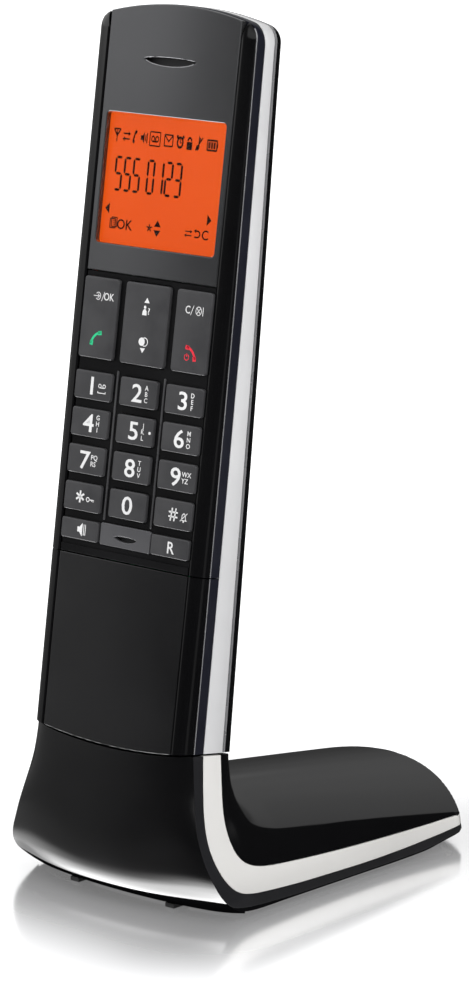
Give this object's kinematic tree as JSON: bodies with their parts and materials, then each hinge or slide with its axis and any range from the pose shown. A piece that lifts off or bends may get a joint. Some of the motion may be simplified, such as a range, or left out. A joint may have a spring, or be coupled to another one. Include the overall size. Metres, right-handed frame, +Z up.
{
  "type": "cordless phone with base",
  "caption": "Slim cordless telephone handset leaning in an L-shaped charging base with a flared front and silver side band; keys press, handset lifts out.",
  "frame": {"origin": "centre of the bounding box at the level the feet stand on", "axes": "+Z up; the keypad and the front of the base face -Y; the foot of the base runs back along +Y; +X is to the right seen from the front"},
  "size_m": [0.06, 0.0955, 0.1846],
  "materials": {
    "gloss_black": "gloss",
    "rear_black": "gloss",
    "panel_grey": "satin metallic",
    "lower_panel": "semi gloss",
    "keypad_dark": "satin",
    "key_grey": "satin",
    "silver_band": "satin silver",
    "chassis_grey": "satin",
    "window": "clear gloss",
    "lcd": "backlit amber",
    "mic_grey": "satin",
    "rubber_mat": "matte",
    "rubber_feet": "matte",
    "pcb_green": "solder mask",
    "steel": "plain",
    "contact_brass": "plated",
    "cell_wrap": "shrink sleeve",
    "inner_black": "moulded",
    "jack_ivory": "moulded"
  },
  "bodies": {
    "base": {"base_front_cover": "gloss_black", "base_chassis": "chassis_grey", "base_band": "silver_band", "base_top_cover": "rear_black", "base_bottom_plate": "inner_black", "cradle_well": "inner_black", "base_pcb": "pcb_green", "line_jack": "jack_ivory", "power_jack": "inner_black", "base_feet": "rubber_feet", "base_screws": "steel", "base_antennas": "contact_brass"},
    "handset": {"front_shell": "gloss_black", "front_panel": "panel_grey", "keypad_frame": "keypad_dark", "display_window": "window", "lcd_module": "lcd", "lower_front_cover": "gloss_black", "lower_panel": "lower_panel", "handset_band": "silver_band", "rear_shell": "rear_black", "mic_plate": "mic_grey", "keypad_mat": "rubber_mat", "handset_pcb": "pcb_green", "rf_shield": "steel", "earpiece": "inner_black", "microphone": "steel", "ringer": "inner_black", "aaa_cells": "cell_wrap", "battery_contacts": "steel", "charging_tongue": "inner_black", "handset_contacts": "contact_brass", "handset_screws": "steel"},
    "battery_door": {"battery_door": "rear_black"},
    "key_ok_talk": {"key_ok_talk": "key_grey"},
    "key_nav": {"key_nav": "key_grey"},
    "key_clear_end": {"key_clear_end": "key_grey"},
    "key_1": {"key_1": "key_grey"},
    "key_2": {"key_2": "key_grey"},
    "key_3": {"key_3": "key_grey"},
    "key_4": {"key_4": "key_grey"},
    "key_5": {"key_5": "key_grey"},
    "key_6": {"key_6": "key_grey"},
    "key_7": {"key_7": "key_grey"},
    "key_8": {"key_8": "key_grey"},
    "key_9": {"key_9": "key_grey"},
    "key_star": {"key_star": "key_grey"},
    "key_0": {"key_0": "key_grey"},
    "key_hash": {"key_hash": "key_grey"},
    "key_speaker": {"key_speaker": "key_grey"},
    "key_r": {"key_r": "key_grey"},
    "charge_pin_left": {"charge_pin_left": "contact_brass"},
    "charge_pin_right": {"charge_pin_right": "contact_brass"},
    "page_button": {"page_button": "key_grey"}
  },
  "joints": [
    {"name": "handset_lift", "type": "slide", "parent": "base", "child": "handset", "axis": [0, 0.1478, 0.989], "range_m": [0, 0.08]},
    {"name": "battery_door_release", "type": "slide", "parent": "handset", "child": "battery_door", "axis": [0, 0.989, -0.1478], "range_m": [0, 0.03]},
    {"name": "key_ok_talk_rock", "type": "hinge", "parent": "handset", "child": "key_ok_talk", "pos_m": [-0.01303, -0.03164, 0.11977], "axis": [1, 0, 0], "range_deg": [-2.2, 2.2], "stiffness_Nm_per_rad": 0.05},
    {"name": "key_nav_rock", "type": "hinge", "parent": "handset", "child": "key_nav", "pos_m": [0, -0.03164, 0.11977], "axis": [1, 0, 0], "range_deg": [-2.2, 2.2], "stiffness_Nm_per_rad": 0.05},
    {"name": "key_clear_end_rock", "type": "hinge", "parent": "handset", "child": "key_clear_end", "pos_m": [0.01303, -0.03164, 0.11977], "axis": [1, 0, 0], "range_deg": [-2.2, 2.2], "stiffness_Nm_per_rad": 0.05},
    {"name": "key_1_press", "type": "slide", "parent": "handset", "child": "key_1", "axis": [0, 0.989, -0.1478], "range_m": [0, 0.0004], "stiffness_N_per_m": 400},
    {"name": "key_2_press", "type": "slide", "parent": "handset", "child": "key_2", "axis": [0, 0.989, -0.1478], "range_m": [0, 0.0004], "stiffness_N_per_m": 400},
    {"name": "key_3_press", "type": "slide", "parent": "handset", "child": "key_3", "axis": [0, 0.989, -0.1478], "range_m": [0, 0.0004], "stiffness_N_per_m": 400},
    {"name": "key_4_press", "type": "slide", "parent": "handset", "child": "key_4", "axis": [0, 0.989, -0.1478], "range_m": [0, 0.0004], "stiffness_N_per_m": 400},
    {"name": "key_5_press", "type": "slide", "parent": "handset", "child": "key_5", "axis": [0, 0.989, -0.1478], "range_m": [0, 0.0004], "stiffness_N_per_m": 400},
    {"name": "key_6_press", "type": "slide", "parent": "handset", "child": "key_6", "axis": [0, 0.989, -0.1478], "range_m": [0, 0.0004], "stiffness_N_per_m": 400},
    {"name": "key_7_press", "type": "slide", "parent": "handset", "child": "key_7", "axis": [0, 0.989, -0.1478], "range_m": [0, 0.0004], "stiffness_N_per_m": 400},
    {"name": "key_8_press", "type": "slide", "parent": "handset", "child": "key_8", "axis": [0, 0.989, -0.1478], "range_m": [0, 0.0004], "stiffness_N_per_m": 400},
    {"name": "key_9_press", "type": "slide", "parent": "handset", "child": "key_9", "axis": [0, 0.989, -0.1478], "range_m": [0, 0.0004], "stiffness_N_per_m": 400},
    {"name": "key_star_press", "type": "slide", "parent": "handset", "child": "key_star", "axis": [0, 0.989, -0.1478], "range_m": [0, 0.0004], "stiffness_N_per_m": 400},
    {"name": "key_0_press", "type": "slide", "parent": "handset", "child": "key_0", "axis": [0, 0.989, -0.1478], "range_m": [0, 0.0004], "stiffness_N_per_m": 400},
    {"name": "key_hash_press", "type": "slide", "parent": "handset", "child": "key_hash", "axis": [0, 0.989, -0.1478], "range_m": [0, 0.0004], "stiffness_N_per_m": 400},
    {"name": "key_speaker_press", "type": "slide", "parent": "handset", "child": "key_speaker", "axis": [0, 0.989, -0.1478], "range_m": [0, 0.0004], "stiffness_N_per_m": 400},
    {"name": "key_r_press", "type": "slide", "parent": "handset", "child": "key_r", "axis": [0, 0.989, -0.1478], "range_m": [0, 0.0004], "stiffness_N_per_m": 400},
    {"name": "charge_pin_left_press", "type": "slide", "parent": "base", "child": "charge_pin_left", "axis": [0, -0.1478, -0.989], "range_m": [0, 0.0008], "stiffness_N_per_m": 500},
    {"name": "charge_pin_right_press", "type": "slide", "parent": "base", "child": "charge_pin_right", "axis": [0, -0.1478, -0.989], "range_m": [0, 0.0008], "stiffness_N_per_m": 500},
    {"name": "page_button_press", "type": "slide", "parent": "base", "child": "page_button", "axis": [0, -1, 0], "range_m": [0, 0.0006], "stiffness_N_per_m": 400}
  ]
}
